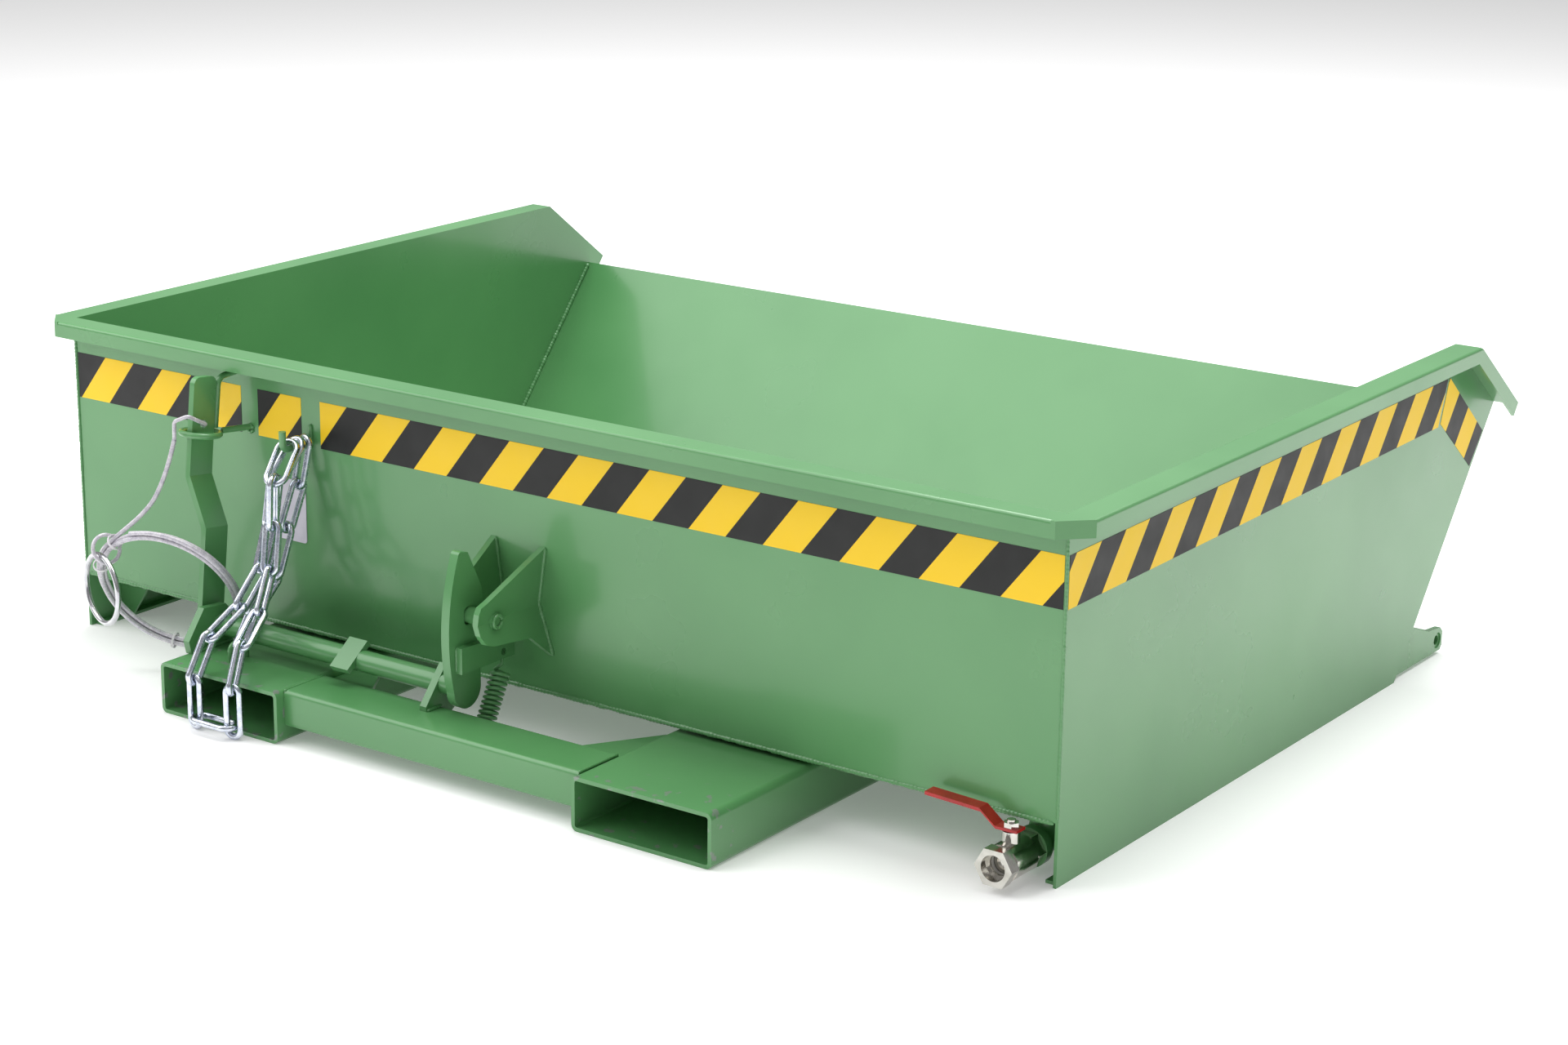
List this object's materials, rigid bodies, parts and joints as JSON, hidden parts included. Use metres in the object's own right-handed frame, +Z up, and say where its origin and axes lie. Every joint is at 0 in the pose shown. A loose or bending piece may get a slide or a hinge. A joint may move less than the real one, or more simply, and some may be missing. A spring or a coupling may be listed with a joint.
{
  "type": "forklift tipping skip",
  "caption": "Low sheet steel skip hinged at its front edge on a fork pocket frame, with a spring hook latch, hand lever, pull rope, safety chain and drain valve",
  "frame": {"origin": "on the ground, in the middle of the footprint", "axes": "+X along the tub's width, +Y towards the tipping edge, +Z up"},
  "size_m": [1.566, 1.324, 0.422],
  "materials": {
    "green_paint": "glossy coat paint",
    "zinc": "bright zinc plate",
    "hazard_tape": "yellow film with black slanted bars",
    "plate": "plain anodised",
    "nickel": "nickel plate",
    "seal": "white seal",
    "red_grip": "dipped red sleeve",
    "rope_sheath": "clear coated wire rope",
    "tie": "natural tie",
    "steel": "polished"
  },
  "bodies": {
    "base": {"fork_pocket_left": "green_paint", "fork_pocket_right": "green_paint", "rear_cross_beam": "green_paint", "front_cross_beam": "green_paint", "corner_gusset_left": "green_paint", "corner_gusset_right": "green_paint", "hinge_lugs_left": "green_paint", "hinge_lugs_right": "green_paint", "shaft_bracket_left": "green_paint", "shaft_bracket_right": "green_paint", "chain_eye": "green_paint", "quick_link": "zinc", "spring_anchor": "green_paint"},
    "tub": {"rear_wall": "green_paint", "side_wall_left": "green_paint", "side_wall_right": "green_paint", "floor_and_front": "green_paint", "rim_corner_left": "green_paint", "rim_corner_right": "green_paint", "floor_runners": "green_paint", "skirt_stiffeners": "green_paint", "hinge_tube": "green_paint", "hinge_ear_left": "green_paint", "hinge_ear_right": "green_paint", "latch_cheek_left": "green_paint", "latch_cheek_right": "green_paint", "latch_pin": "green_paint", "lever_guide": "green_paint", "chain_hook": "green_paint", "type_plate": "plate", "tape_rear": "hazard_tape", "tape_left": "hazard_tape", "tape_right": "hazard_tape", "drain_elbow": "green_paint", "valve_body": "nickel", "valve_seats": "seal", "chain_strand_left": "zinc", "chain_strand_right": "zinc", "chain_strand_tether": "zinc", "chain_foot_link": "zinc", "snap_hook": "zinc"},
    "latch": {"latch_shaft": "green_paint", "latch_plate": "green_paint", "spring_arm": "green_paint", "hand_lever": "green_paint", "lever_ring": "green_paint", "stop_arm": "green_paint", "latch_spring": "green_paint", "rope_hook": "rope_sheath", "pull_rope": "rope_sheath", "rope_coil": "rope_sheath", "rope_ties": "tie", "grip_loop": "rope_sheath", "pull_ring": "steel"},
    "valve_handle": {"valve_lever": "red_grip", "valve_stem": "nickel", "valve_ball": "nickel", "valve_nut": "nickel"}
  },
  "joints": [
    {"name": "tub_tilt", "type": "hinge", "parent": "base", "child": "tub", "pos_m": [0, 0.54, 0.02], "axis": [-1, 0, 0], "range_deg": [0, 70]},
    {"name": "latch_turn", "type": "hinge", "parent": "base", "child": "latch", "pos_m": [-0.2, -0.534, 0.093], "axis": [1, 0, 0], "range_deg": [0, 20], "stiffness_Nm_per_rad": 8, "deforming": ["latch_spring"]},
    {"name": "valve_turn", "type": "hinge", "parent": "tub", "child": "valve_handle", "pos_m": [0.703, -0.463, 0.06], "axis": [0, 0, 1], "range_deg": [0, 90]}
  ]
}
